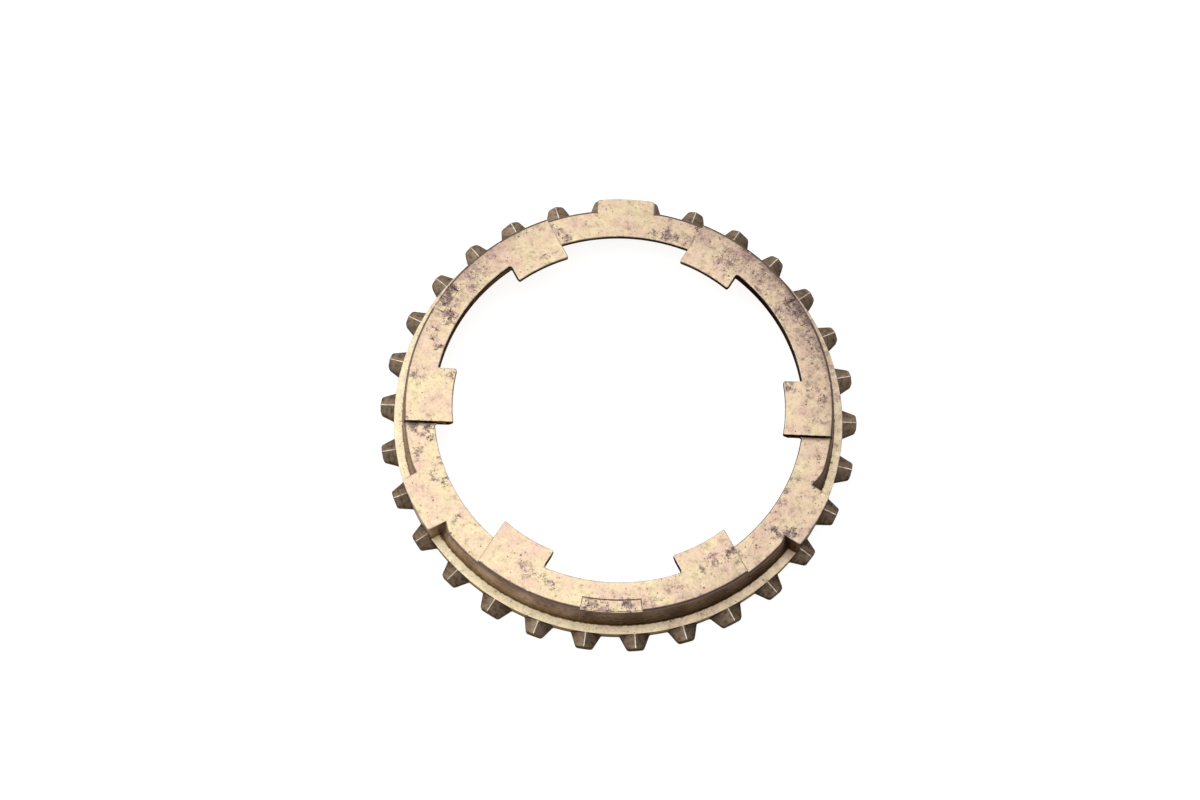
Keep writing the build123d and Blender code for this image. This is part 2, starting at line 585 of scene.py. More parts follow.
@dataclass(frozen=True)
class DogTeeth:
    """Thirty dog teeth with roof chamfers, spread round the rim by Geometry Nodes.

    The bites are how far a round takes up its two sides, as a share of its radius.
    """

    sizes: RingSizes = RingSizes()
    count: int = 30
    root_width: float = 5.7
    tip_width: float = 3.1
    tip_round: float = 0.5
    tip_bite: float = 0.9
    root_round: float = 0.35
    root_bite: float = 0.6
    root_lean: float = -0.15
    roof_fall: float = 31.0
    ridge_land: float = 0.2
    edge_round: float = 0.1
    sharpest: float = 24.0
    sunk: float = 0.25
    near_stop: float = 0.3
    far_stop: float = 0.75
    lap: float = 0.01

    def rows(self) -> list[ToothRow]:
        """The common teeth, and those in line with a lug, which reach further to one side.

        Returns:
            The rows.
        """
        pitch = 360 / self.count
        return [
            ToothRow("common_teeth", self.count, 0.0, pitch, skip_every=5),
            ToothRow("left_stop_teeth", 2, 120.0, 120.0, left=self.far_stop),
            ToothRow("right_stop_teeth", 2, 60.0, 240.0, right=self.far_stop),
            ToothRow("first_stop_tooth", 1, 0.0, 0.0, left=self.near_stop),
            ToothRow("last_stop_tooth", 1, 180.0, 0.0, right=self.near_stop)]

    def outline(self, left: float, right: float) -> list[Point]:
        """Plan of one tooth along +X, with its root sunk into the ring.

        Args:
            left: extra width on the side of +Y.
            right: extra width on the side of -Y.

        Returns:
            Points round the plan, anticlockwise.
        """
        s = self.sizes
        rim, tip = s.rim_radius, s.rim_radius + s.tooth_length
        root, end = self.root_width / 2, self.tip_width / 2
        rounds: list[list[Point]] = []
        for extra, side in ((right, -1), (left, 1)):
            foot, corner = Vector((rim, root + extra)), Vector((tip, end + extra))
            corner.x = math.sqrt(tip ** 2 - corner.y ** 2)
            foot.x = math.sqrt(rim ** 2 - foot.y ** 2)
            flank = (corner - foot).normalized()
            start = corner - flank * self.tip_round * self.tip_bite
            inner = corner.y - self.tip_round * self.tip_bite
            stop = Vector((math.sqrt(tip ** 2 - inner ** 2), inner))
            along = Vector((self.root_lean, 1)).normalized()
            hollow = foot + along * self.root_round * self.root_bite
            near = foot + flank * self.root_round * self.root_bite
            middle = (hollow + near + foot * 2) / 4
            points = [Vector((rim - self.sunk, hollow.y)), hollow, middle, near]
            points += [start.lerp(corner, t).lerp(corner.lerp(stop, t), t)
                       for t in (0, 0.25, 0.5, 0.75, 1)]
            rounds.append([(p.x, side * p.y) for p in points])
        return rounds[0] + [(tip, 0.0)] + rounds[1][::-1]

    def tooth(self, row: ToothRow) -> bpy.types.Mesh:
        """One tooth: its plan raised to the ridge, cut by the two roof faces and rounded.

        It stays a lap below the ledge and above the gear side, so that no two faces share a
        plane where its root is sunk into the ring.

        Args:
            row: the row that the tooth is for.

        Returns:
            The tooth's mesh along +X, in metres.
        """
        s = self.sizes
        solid = bmesh.new()
        base = [solid.verts.new((x, y, self.lap)) for x, y in self.outline(row.left, row.right)]
        floor = solid.faces.new(base)
        raised = bmesh.ops.extrude_face_region(solid, geom=[floor])
        lifted = [v for v in raised["geom"] if isinstance(v, bmesh.types.BMVert)]
        bmesh.ops.translate(solid, verts=lifted, vec=(0, 0, s.tooth_height - 2 * self.lap))
        fall = math.radians(self.roof_fall)
        for side in (1, -1):
            cut = bmesh.ops.bisect_plane(
                solid, geom=solid.verts[:] + solid.edges[:] + solid.faces[:],
                plane_co=(0, side * self.ridge_land / 2, s.tooth_height - self.lap),
                plane_no=(0, side * math.sin(fall), math.cos(fall)), clear_outer=True)
            open_edges = [e for e in cut["geom_cut"] if isinstance(e, bmesh.types.BMEdge)]
            bmesh.ops.edgenet_fill(solid, edges=open_edges)
        bmesh.ops.recalc_face_normals(solid, faces=solid.faces)
        hard = [e for e in solid.edges
                if e.is_manifold and e.calc_face_angle(0) > math.radians(self.sharpest)
                and min(v.co.x for v in e.verts) > s.rim_radius - self.sunk / 2]
        bmesh.ops.bevel(solid, geom=hard, offset=self.edge_round, segments=2, profile=0.5,
                        affect="EDGES", clamp_overlap=False)
        bmesh.ops.scale(solid, verts=solid.verts, vec=(MM, MM, MM))
        mesh = bpy.data.meshes.new(row.name)
        solid.to_mesh(mesh)
        solid.free()
        return mesh

    def build(self, brass: bpy.types.Material) -> list[bpy.types.Object]:
        """Make every row of teeth as a plain mesh.

        Args:
            brass: the material of the teeth.

        Returns:
            One object for each row.
        """
        tree = teeth_tree()
        teeth = []
        for row in self.rows():
            values = {"Count": row.count, "First Angle": math.radians(row.first),
                      "Step Angle": math.radians(row.step), "Skip Every": row.skip_every,
                      "Material": brass}
            teeth.append(grown(row.name, self.tooth(row), tree, values))
        return teeth


def new_tree(name: str, inputs: dict[str, str]) -> tuple[Tree, dict[str, Socket]]:
    """Start a Geometry Nodes tree with a geometry input, an output and named inputs.

    Args:
        name: the tree's name.
        inputs: name and kind of socket of each further input.

    Returns:
        The tree and its inputs by name.
    """
    tree = bpy.data.node_groups.new(name, "GeometryNodeTree")
    tree.interface.new_socket("Geometry", in_out="INPUT", socket_type="NodeSocketGeometry")
    for label, kind in inputs.items():
        tree.interface.new_socket(label, in_out="INPUT", socket_type=f"NodeSocket{kind}")
    tree.interface.new_socket("Geometry", in_out="OUTPUT", socket_type="NodeSocketGeometry")
    return tree, dict(add_node(tree, "NodeGroupInput").outputs.items())


def finish_tree(tree: Tree, geometry: Node, material: Socket) -> None:
    """Realize the instances, give them their material and send them to the output.

    Args:
        tree: the Geometry Nodes tree.
        geometry: the node whose geometry is wanted.
        material: the tree's input for the material.
    """
    real = add_node(tree, "GeometryNodeRealizeInstances", [geometry])
    dressed = add_node(tree, "GeometryNodeSetMaterial", {"Geometry": real, "Material": material})
    add_node(tree, "NodeGroupOutput", [dressed])


def teeth_tree() -> Tree:
    """Make the tree that turns copies of one tooth round the axis.

    Returns:
        The tree, which can leave every n-th place free.
    """
    tree, given = new_tree("teeth_round_the_rim", {
        "Count": "Int", "First Angle": "Float", "Step Angle": "Float", "Skip Every": "Int",
        "Material": "Material"})
    add = partial(add_node, tree)
    points = add("GeometryNodePoints", {"Count": given["Count"]})
    index = add("GeometryNodeInputIndex")
    angle = add("ShaderNodeMath", [index, given["Step Angle"], given["First Angle"]],
                operation="MULTIPLY_ADD")
    turn = add("ShaderNodeCombineXYZ", {"Z": angle})
    left_over = add("ShaderNodeMath", [index, given["Skip Every"]], operation="MODULO")
    no_skip = add("ShaderNodeMath", [given["Skip Every"], 0.5], operation="LESS_THAN")
    keep = add("ShaderNodeMath", [left_over, no_skip], operation="ADD")
    rotation = add("FunctionNodeEulerToRotation", [turn])
    placed = add("GeometryNodeInstanceOnPoints", {
        "Points": points, "Selection": keep, "Instance": given["Geometry"], "Rotation": rotation})
    finish_tree(tree, placed, given["Material"])
    return tree


def grown(name: str, seed: bpy.types.Mesh, tree: Tree, values: dict[str, Any]) -> bpy.types.Object:
    """Run a Geometry Nodes tree on a mesh and keep the result as a plain mesh.

    Args:
        name: name of the finished object.
        seed: mesh that the tree starts from.
        tree: the Geometry Nodes tree.
        values: the tree's input names and their values.

    Returns:
        An object at the origin with no modifier.
    """
    holder = bpy.data.objects.new(name, seed)
    bpy.context.scene.collection.objects.link(holder)
    modifier = holder.modifiers.new("grow", "NODES")
    modifier.node_group = tree
    for item in tree.interface.items_tree:
        if item.item_type == "SOCKET" and item.in_out == "INPUT" and item.name in values:
            modifier[item.identifier] = values[item.name]
    graph = bpy.context.evaluated_depsgraph_get()
    result = bpy.data.meshes.new_from_object(holder.evaluated_get(graph))
    holder.modifiers.clear()
    holder.data = result
    result.name = name
    return holder


@dataclass(frozen=True)
class ScrapingThread:
    """Fine helical thread that scrapes the oil off the cone, broken by the oil channels.

    The photo hides it.  Its pitch is drawn a little coarser than is usual, so that it shows.
    """

    body: RingBody = RingBody()
    pitch: float = 0.65
    depth: float = 0.18
    start: float = 0.8
    steps: int = 180
    channels: int = 12
    section_sides: int = 4

    def tree(self) -> Tree:
        """Make the tree that winds a helix and gives it a pointed section.

        Returns:
            The tree, which cuts the helix where it meets the channels.
        """
        sizes = ("Turns", "Rise", "First Radius", "Last Radius", "Start", "Depth", "Half Gap")
        tree, given = new_tree("thread_on_the_cone", {
            **dict.fromkeys(sizes, "Float"), "Material": "Material"})
        add = partial(add_node, tree)
        wound = add("GeometryNodeCurveSpiral", {
            "Resolution": self.steps, "Rotations": given["Turns"],
            "Start Radius": given["First Radius"], "End Radius": given["Last Radius"],
            "Height": given["Rise"]})
        lift = add("ShaderNodeCombineXYZ", {"Z": given["Start"]})
        raised = add("GeometryNodeSetPosition", {"Geometry": wound, "Offset": lift})
        line = add("GeometryNodeCurveToMesh", [raised])
        here = add("GeometryNodeInputPosition")
        x, y, _ = add("ShaderNodeSeparateXYZ", [here]).outputs
        angle = add("ShaderNodeMath", [y, x], operation="ARCTAN2")
        share = add("ShaderNodeMath", [angle, self.channels / math.tau], operation="MULTIPLY")
        part = add("ShaderNodeMath", [share], operation="FRACT")
        away = add("ShaderNodeMath", [part, 0.5], operation="SUBTRACT")
        apart = add("ShaderNodeMath", [away], operation="ABSOLUTE")
        in_gap = add("ShaderNodeMath", [apart, given["Half Gap"]], operation="LESS_THAN")
        broken = add("GeometryNodeDeleteGeometry", {"Geometry": line, "Selection": in_gap})
        curve = add("GeometryNodeMeshToCurve", [broken])
        section = add("GeometryNodeCurvePrimitiveCircle", {
            "Resolution": self.section_sides, "Radius": given["Depth"]})
        thread = add("GeometryNodeCurveToMesh", {
            "Curve": curve, "Profile Curve": section, "Fill Caps": True})
        finish_tree(tree, thread, given["Material"])
        return tree

    def build(self, brass: bpy.types.Material) -> bpy.types.Object:
        """Make the thread as a plain mesh, half sunk into the cone.

        Args:
            brass: the material of the thread.

        Returns:
            The thread's object.
        """
        body, sizes = self.body, self.body.sizes
        end = sizes.high - sizes.web_thickness - self.pitch / 2
        apart = math.tau * body.mouth_radius / self.channels
        gap = (body.channel_width / 2 + self.depth) / apart
        return grown("scraping_thread", bpy.data.meshes.new("thread_start"), self.tree(), {
            "Turns": (end - self.start) / self.pitch, "Rise": (end - self.start) * MM,
            "First Radius": body.cone(self.start) * MM, "Last Radius": body.cone(end) * MM,
            "Start": self.start * MM, "Depth": self.depth * MM, "Half Gap": gap,
            "Material": brass})


@dataclass(frozen=True)
class Spot:
    """Place on the ring, seen from above, where something lies thickest.

    Its share is highest up to the near distance from the centre and gone at the far one.
    """

    centre: Point
    near: float
    far: float
    most: float


def stain(angle: float, distance: float, size: float, strength: float) -> Spot:
    """Place an oil stain on a top face.

    Args:
        angle: degrees round the axis.
        distance: millimetres from the axis.
        size: its radius.
        strength: how dark it is.

    Returns:
        The stain's spot, which fades out at STAIN_SPREAD times its radius.
    """
    turn = math.radians(angle)
    centre = (distance * math.cos(turn), distance * math.sin(turn))
    return Spot(centre, 0.0, STAIN_SPREAD * size, strength)


STAINS = [stain(*row) for row in (
    (149, 40.0, 1.9, 1.0), (154, 37.7, 1.9, 0.9), (160, 39.1, 0.8, 0.8), (162, 38.0, 0.6, 0.8),
    (164, 36.7, 0.8, 0.9), (172, 32.4, 1.3, 0.6), (175, 38.9, 1.9, 0.45), (138, 38.5, 2.7, 0.45),
    (143, 37.3, 2.3, 0.45), (111, 40.2, 0.8, 0.8), (110, 38.0, 1.0, 0.8), (109, 36.4, 0.8, 0.8),
    (117, 33.7, 1.3, 0.45), (77, 36.7, 1.7, 0.9), (82, 36.8, 1.1, 0.6), (69, 41.2, 1.0, 0.8),
    (70, 37.3, 1.0, 0.8), (56, 36.4, 2.7, 0.6), (57, 39.7, 1.0, 0.6), (46, 39.5, 2.5, 0.6),
    (43, 35.9, 1.5, 0.7), (41, 39.8, 2.1, 0.5), (31, 40.2, 2.5, 1.0), (32, 36.3, 2.5, 0.5),
    (26, 36.1, 1.3, 0.5), (20, 40.5, 2.3, 0.6), (3, 38.9, 1.1, 0.8), (6, 37.8, 1.0, 0.6),
    (7, 32.6, 1.5, 0.6), (189, 39.8, 1.3, 0.9), (190, 37.0, 1.3, 0.9), (193, 37.0, 0.6, 1.0),
    (197, 40.0, 1.5, 0.7), (200, 35.7, 0.8, 0.8), (207, 35.8, 0.8, 0.8), (205, 38.4, 0.8, 0.7),
    (208, 37.1, 0.8, 0.7), (219, 38.1, 1.1, 0.5), (221, 41.1, 0.8, 0.7), (245, 37.4, 1.7, 0.5),
    (250, 37.0, 0.8, 0.7), (253, 38.7, 0.8, 0.7), (307, 36.3, 1.7, 0.9), (301, 36.2, 1.3, 0.6),
    (297, 36.2, 1.1, 0.8), (288, 37.1, 1.9, 0.4), (321, 38.7, 1.3, 0.9), (326, 41.3, 1.1, 0.5),
    (346, 39.7, 1.1, 0.6), (333, 35.7, 1.1, 0.6), (329, 36.2, 1.1, 0.6), (339, 36.2, 1.5, 0.4),
    (281, 39.7, 1.9, 0.5), (323, 40.8, 1.2, 0.8), (264, 40.2, 1.4, 0.9), (268, 40.0, 1.4, 0.75),
    (274, 40.2, 1.4, 0.85), (26, 40.4, 1.4, 0.9), (34, 40.2, 1.2, 0.9), (146, 40.3, 1.0, 0.9),
    (339, 40.4, 0.9, 0.9), (338, 41.1, 0.7, 1.0), (324, 41.4, 0.9, 0.9))]
# Painted shade: towards this side of the ring the wall is darkened and the ledge loses some gold.
SHADED_SIDE = Spot((30.0, -40.0), 28.0, 50.0, 1.0)
# Tarnish on the top faces, which also darkens the raw skin beneath as painted shade.
TARNISH_AND_SHADE_PLACES = [
    Spot((34.0, 24.0), -10.0, 62.0, 0.85), Spot((30.0, -28.0), 0.0, 42.0, 0.4),
    Spot((-28.0, 26.0), 0.0, 26.0, 0.45)]


@dataclass(frozen=True)
class Pattern:
    """Noise on a surface: how wide its features are, in millimetres, and how they break up."""

    size: float
    detail: float
    roughness: float = 0.5
    distortion: float = 0.0
    turned: bool = False


# The grain, dents, cast skin and tool streaks of such brass are too fine to show, so they are
# drawn as coarse as they need to be.
PATTERNS = {
    "cloud": Pattern(4.5, 6.0, 0.62),
    "patch": Pattern(2.6, 6.0, 0.7),
    "wander": Pattern(1.8, 3.0, 0.6),
    "mist": Pattern(1.6, 8.0, 0.72),
    "curl": Pattern(1.5, 3.0, distortion=1.8),
    "cast": Pattern(0.9, 5.0, 0.7),
    "chatter": Pattern(0.7, 3.0, 0.6),
    "grain": Pattern(0.55, 4.0, 0.65),
    "blot": Pattern(0.5, 4.0, 0.7, 1.2),
    "streak": Pattern(0.5, 3.0, 0.6, turned=True),
    "dent": Pattern(0.4, 2.0)}


@dataclass(frozen=True)
class BrassFinish:
    """Forged and turned manganese brass that has run in gearbox oil.

    It gives the eye a warm satin metal.  The rubbed faces are a pale peach clouded with yellow.
    The flanks of the teeth are grey-brown, and the wall is tan, with a golden foot that is a
    painted reflection of the ledge, and darkened by painted shade on one side.  Purple-grey haze,
    dark specks and thin dark lines gather round the stains.  The top's rounded outer edge carries
    a painted dark reflection, the corner below the wall painted shade, and the edges are lightened
    nearly white by wear and a painted highlight.
    """

    peach: str = "#ECCDB6"
    yellow: str = "#F2E0B6"
    tarnish: str = "#BFA294"
    ledge: str = "#F7E7C3"
    shade: str = "#3A2C22"
    wall: str = "#AA917B"
    flank: str = "#625A56"
    roof: str = "#CFB6A2"
    turned: str = "#C4A77C"
    haze: str = "#937C7C"
    edge_reflection_tone: str = "#75605C"
    stain: str = "#4C3A3C"
    speck: str = "#4A3B38"
    grain: str = "#A6897C"
    shade_and_border_tone: str = "#4E3D2A"
    reflected_ledge: str = "#937A3A"
    dark: str = "#241B15"
    worn_edge_highlight: str = "#FFF4E2"
    metallic: float = 1.0
    smoothest: float = 0.36
    roughest: float = 0.52
    dent_depth: float = 0.02
    dent_strength: float = 0.25
    grazing_gamma: float = 0.35
    stain_wander: float = 6.0
    streak_length: float = 0.4

    def material(self, sizes: RingSizes) -> bpy.types.Material:
        """Make the material, which reads the zones that dress() writes on a mesh.

        Args:
            sizes: sizes of the ring, which say where its edges lie.

        Returns:
            The material.
        """
        brass = bpy.data.materials.new("forged_and_turned_brass")
        brass.use_nodes = True
        BrassShader(self, sizes, brass.node_tree).build()
        return brass


class BrassShader:
    """Shader of the brass while it is being built, with what its layers share.

    A share says how much of a coat covers the surface, from nought to one.
    """

    def __init__(self, finish: BrassFinish, sizes: RingSizes, tree: Tree) -> None:
        """Empty the tree, then read the place, the zones, the patterns and the stains.

        Args:
            finish: colours and gloss of the brass.
            sizes: sizes of the ring, which say where its edges lie.
            tree: the material's tree.
        """
        tree.nodes.clear()
        self.finish, self.sizes, self.add = finish, sizes, partial(add_node, tree)
        self.place = self.add("ShaderNodeTexCoord").outputs["Object"]
        x, y, self.height = self.add("ShaderNodeSeparateXYZ", [self.place]).outputs
        self.plan = self.add("ShaderNodeVectorMath", [self.place, (1.0, 1.0, 0.0)],
                             operation="MULTIPLY")
        self.radius = self.add("ShaderNodeVectorMath", [self.plan],
                               operation="LENGTH").outputs["Value"]
        zone = self.add("ShaderNodeAttribute", attribute_name="zone")
        self.skin, self.ledge, self.edge = self.add("ShaderNodeSeparateColor", [zone]).outputs
        angle = self.add("ShaderNodeMath", [y, x], operation="ARCTAN2")
        slow = self.add("ShaderNodeMath", [angle, finish.streak_length * MM], operation="MULTIPLY")
        lathe = self.add("ShaderNodeCombineXYZ", [self.radius, self.height, slow])
        self.noise = {name: self.add("ShaderNodeTexNoise", {
            "Vector": lathe if pattern.turned else self.place, "Scale": per_mm(pattern.size),
            "Detail": pattern.detail, "Roughness": pattern.roughness,
            "Distortion": pattern.distortion}) for name, pattern in PATTERNS.items()}
        self.shaded = self.thickest(self.plan, [SHADED_SIDE])
        self.tarnish_and_shade = self.tarnish()
        self.stained = self.stains()

    def build(self) -> None:
        """Join the colour, the gloss and the dents in one metal."""
        finish, colour = self.finish, self.colour()
        satin = self.add("ShaderNodeMapRange", [
            self.noise["mist"], 0.35, 0.65, finish.smoothest, finish.roughest])
        dents = self.add("ShaderNodeBump", {
            "Height": self.noise["dent"], "Strength": finish.dent_strength,
            "Distance": finish.dent_depth * MM})
        grazing = self.add("ShaderNodeGamma", [colour, finish.grazing_gamma])
        metal = self.add("ShaderNodeBsdfPrincipled", {
            "Base Color": colour, "Metallic": finish.metallic, "Roughness": satin,
            "Normal": dents, "Specular Tint": grazing})
        self.add("ShaderNodeOutputMaterial", {"Surface": metal})

    def thickest(self, plan: Node, spots: list[Spot], least: Feed = 0.0) -> Feed:
        """Share of the thickest of some spots, each fading away from its centre.

        Args:
            plan: the place in plan.
            spots: the spots.
            least: the share where no spot is thicker.

        Returns:
            The share.
        """
        share = least
        for spot in spots:
            middle = (spot.centre[0] * MM, spot.centre[1] * MM, 0.0)
            away = self.add("ShaderNodeVectorMath", [plan, middle], operation="DISTANCE")
            fading = self.add("ShaderNodeMapRange", [
                away.outputs["Value"], spot.near * MM, spot.far * MM, spot.most, 0.0],
                interpolation_type="SMOOTHSTEP")
            share = self.add("ShaderNodeMath", [share, fading], operation="MAXIMUM")
        return share

    def tarnish(self) -> Feed:
        """Patchy brown of the tarnished places, thinner on the lugs.  On the raw skin of the wall
        and the teeth it also darkens as painted shade.

        Returns:
            Its share, from nought to about one.
        """
        share = self.thickest(self.plan, TARNISH_AND_SHADE_PLACES)
        hole = self.sizes.hole_radius
        off_lugs = self.add("ShaderNodeMapRange", [
            self.radius, (hole - 1.0) * MM, (hole + 2.5) * MM, 0.3, 1.0])
        patchy = self.add("ShaderNodeMapRange", [self.noise["patch"], 0.35, 0.65, 0.4, 1.25])
        for part in (off_lugs, patchy):
            share = self.add("ShaderNodeMath", [share, part], operation="MULTIPLY")
        return share

    def stains(self) -> Feed:
        """Stains with ragged borders, and a thin film where the brass is tarnished.

        Returns:
            How thick they lie, from nought to one.
        """
        shift = self.add("ShaderNodeVectorMath", [
            self.noise["wander"].outputs["Color"], (0.5, 0.5, 0.5)], operation="SUBTRACT")
        reach = self.finish.stain_wander * MM
        plan = self.add("ShaderNodeVectorMath", [shift, (reach, reach, 0.0), self.plan],
                        operation="MULTIPLY_ADD")
        film = self.add("ShaderNodeMath", [self.tarnish_and_shade, 0.5], operation="MULTIPLY")
        return self.thickest(plan, STAINS, film)

    def coated(self, colour: Feed, coats: list[tuple[Feed, str]]) -> Feed:
        """Lay coats over a colour, one after the other.

        Args:
            colour: the colour below.
            coats: the share and the tone of each coat.

        Returns:
            The colour on top.
        """
        for share, tone in coats:
            colour = self.add("ShaderNodeMix", {0: share, 6: colour, 7: linear(tone)},
                              data_type="RGBA").outputs[2]
        return colour

    def colour(self) -> Feed:
        """Colour of the whole surface, from the raw skin to the edges lightened by wear and a
        painted highlight.

        Returns:
            The colour.
        """
        face = self.coated(self.rubbed_face(), [(self.corner_shade_and_borders(), self.finish.shade_and_border_tone), *self.marks()])
        on_top = self.add("ShaderNodeMapRange", [self.skin, Skin.TURNED.value, Skin.RUBBED.value])
        both = self.add("ShaderNodeMix", {0: on_top, 6: self.raw_skin(), 7: face},
                        data_type="RGBA").outputs[2]
        # Wear and a painted highlight lighten the edges nearly white, patchily.
        rubbed = self.add("ShaderNodeMapRange", [self.noise["mist"], 0.62, 0.42, 0.25, 1.0])
        edge_highlight = self.add("ShaderNodeMath", [self.edge, rubbed], operation="MULTIPLY")
        return self.coated(both, [
            (self.dark_edge_reflection(), self.finish.edge_reflection_tone), (edge_highlight, self.finish.worn_edge_highlight)])

    def rubbed_face(self) -> Feed:
        """Clouded and grainy colour of the rubbed faces, whose gold on the ledge fades in painted
        shade.

        Returns:
            The colour.
        """
        finish = self.finish
        cloudy = self.add("ShaderNodeMapRange", [self.noise["cloud"], 0.38, 0.62])
        grainy = self.add("ShaderNodeMapRange", [self.noise["grain"], 0.52, 0.72, 0.0, 0.5])
        # Painted shade: on the shaded side the ledge takes less of its gold.
        away_from_shade = self.add("ShaderNodeMapRange", [self.shaded, 0.0, 1.0, 1.0, 0.45])
        golden = self.add("ShaderNodeMath", [away_from_shade, self.ledge], operation="MULTIPLY")
        return self.coated(linear(finish.peach), [
            (cloudy, finish.yellow), (golden, finish.ledge), (self.tarnish_and_shade, finish.tarnish),
            (grainy, finish.grain)])

    def corner_shade_and_borders(self) -> Feed:
        """Painted shade in the corner below the wall, and dark lines round the borders of the sunk
        fields, both made ragged.

        Returns:
            Its share.
        """
        foot = self.sizes.wall(self.sizes.tooth_height)
        # Painted shade where the ledge meets the foot of the wall.
        corner = self.add("ShaderNodeMapRange", [
            self.radius, (foot + 0.1) * MM, (foot + 0.45) * MM, 0.58, 0.0])
        corner = self.add("ShaderNodeMath", [corner, self.ledge], operation="MULTIPLY")
        border = self.add("ShaderNodeAttribute", attribute_name="field_border").outputs["Fac"]
        border = self.add("ShaderNodeMath", [border, 0.62], operation="MULTIPLY")
        either = self.add("ShaderNodeMath", [corner, border], operation="MAXIMUM")
        ragged = self.add("ShaderNodeMath", [either, self.noise["chatter"]], operation="ADD")
        return self.add("ShaderNodeMapRange", [ragged, 0.95, 1.15, 0.0, 0.85])

    def dark_edge_reflection(self) -> Feed:
        """Painted dark reflection on the top's rounded outer edge, in mauve, broader on the
        tarnished high arcs.

        Returns:
            Its share.
        """
        top, low = self.sizes.top_radius, self.sizes.low
        either = 0.0
        falling = self.add("ShaderNodeMapRange", [self.skin, 0.99, 0.8, 0.0, 0.72])
        for source, bottom, full, start, stop, most in (
                (falling, -1.0, -0.4, 1.2, 0.9, 1.0), (self.tarnish_and_shade, 0.4, 0.6, 1.7, 0.5, 0.9)):
            upper = self.add("ShaderNodeMapRange", [
                self.height, (low + bottom) * MM, (low + full) * MM])
            outer = self.add("ShaderNodeMapRange", [
                self.radius, (top - start) * MM, (top - stop) * MM, 0.0, most])
            for part in (upper, outer):
                source = self.add("ShaderNodeMath", [source, part], operation="MULTIPLY")
            either = self.add("ShaderNodeMath", [either, source], operation="MAXIMUM")
        on_wall = self.add("ShaderNodeMapRange", [
            self.radius, (top + 0.05) * MM, (top + 0.25) * MM, 1.0, 0.2])
        return self.add("ShaderNodeMath", [either, on_wall], operation="MULTIPLY")

    def marks(self) -> list[tuple[Feed, str]]:
        """Haze, dark stains, thin lines and specks.

        Returns:
            The share and the tone of each.
        """
        coats = []
        for name, gain, low, high, most, tone in (
                ("mist", 0.26, 0.56, 0.74, 0.75, self.finish.haze),
                ("blot", 0.21, 0.65, 0.73, 0.85, self.finish.stain)):
            raised = self.add("ShaderNodeMath", [self.stained, gain, self.noise[name]],
                              operation="MULTIPLY_ADD")
            share = self.add("ShaderNodeMapRange", [raised, low, high, 0.0, most],
                             interpolation_type="SMOOTHSTEP")
            coats.append((share, tone))
        level = self.add("ShaderNodeMath", [self.noise["curl"], 0.5], operation="SUBTRACT")
        gap = self.add("ShaderNodeMath", [level], operation="ABSOLUTE")
        line = self.add("ShaderNodeMapRange", [gap, 0.008, 0.026, 0.9, 0.0])
        near = self.add("ShaderNodeMapRange", [self.stained, 0.12, 0.55, 0.12, 1.0])
        share = self.add("ShaderNodeMath", [line, near], operation="MULTIPLY")
        coats.append((share, self.finish.stain))
        rarity = self.add("ShaderNodeMapRange", [self.stained, 0.0, 0.6, 0.89, 0.62])
        for size, reach in ((0.65, 0.25), (1.9, 0.13)):
            cell = self.add("ShaderNodeTexVoronoi", {"Vector": self.place, "Scale": per_mm(size)})
            dot = self.add("ShaderNodeMapRange", [cell, reach * 0.6, reach, 0.8, 0.0])
            pick = self.add("ShaderNodeSeparateColor", [cell.outputs["Color"]])
            chosen = self.add("ShaderNodeMath", [pick, rarity], operation="GREATER_THAN")
            share = self.add("ShaderNodeMath", [dot, chosen], operation="MULTIPLY")
            coats.append((share, self.finish.speck))
        return coats

    def raw_skin(self) -> Feed:
        """Colour of the wall, flanks, roofs and turned cone, streaked as a tool leaves them,
        darker towards the gear side and round the stains, with a painted reflection of the ledge
        low on the wall and painted shade on one side and where tarnished.

        Returns:
            The colour.
        """
        finish, crest = self.finish, self.sizes.tooth_height
        ramp = self.add("ShaderNodeValToRGB", [self.skin])
        elements = ramp.color_ramp.elements
        elements[0].color, elements[-1].color = linear(finish.shade), linear(finish.peach)
        for kind, tone in ((Skin.WALL, finish.wall), (Skin.FLANK, finish.flank),
                           (Skin.ROOF, finish.roof), (Skin.TURNED, finish.turned)):
            elements.new(kind.value).color = linear(tone)
        # Painted reflection of the ledge: a golden band low on the wall, fainter on the teeth.
        foot, ledge_reflection, above_teeth = (
            self.add("ShaderNodeMapRange", [self.height, low * MM, high * MM, below, above])
            for low, high, below, above in ((0.8, 2.5, 0.8, 0.0), (crest + 0.25, 5.0, 1.0, 0.0),
                                            (2.5, crest + 0.25, 0.35, 0.62)))
        # Painted shade on the steep faces of the shaded side, weaker on the teeth.
        steep = self.add("ShaderNodeMapRange", [
            self.skin, Skin.WALL.value + 0.1, Skin.TURNED.value, 1.0, 0.15])
        shade = self.add("ShaderNodeMath", [self.shaded, steep], operation="MULTIPLY")
        ledge_reflection, tarnish_and_shade, shade = (
            self.add("ShaderNodeMath", [share, above_teeth], operation="MULTIPLY")
            for share in (ledge_reflection, self.tarnish_and_shade, shade))
        streak, cast, dark = self.noise["streak"], self.noise["cast"], finish.dark
        coats = []
        # Tarnish on the raw skin also darkens it as painted shade.
        for source, low, high, most, tone in (
                (ledge_reflection, 0.0, 1.0, 0.75, finish.reflected_ledge), (streak, 0.5, 0.7, 0.4, finish.turned),
                (streak, 0.5, 0.32, 0.5, dark), (cast, 0.47, 0.7, 0.65, dark),
                (foot, 0.0, 1.0, 0.6, dark), (tarnish_and_shade, 0.0, 1.0, 0.9, dark),
                (self.stained, 0.45, 0.9, 0.55, dark), (shade, 0.0, 1.0, 1.0, dark)):
            share = self.add("ShaderNodeMapRange", [source, low, high, 0.0, most])
            coats.append((share, tone))
        return self.coated(ramp.outputs[0], coats)


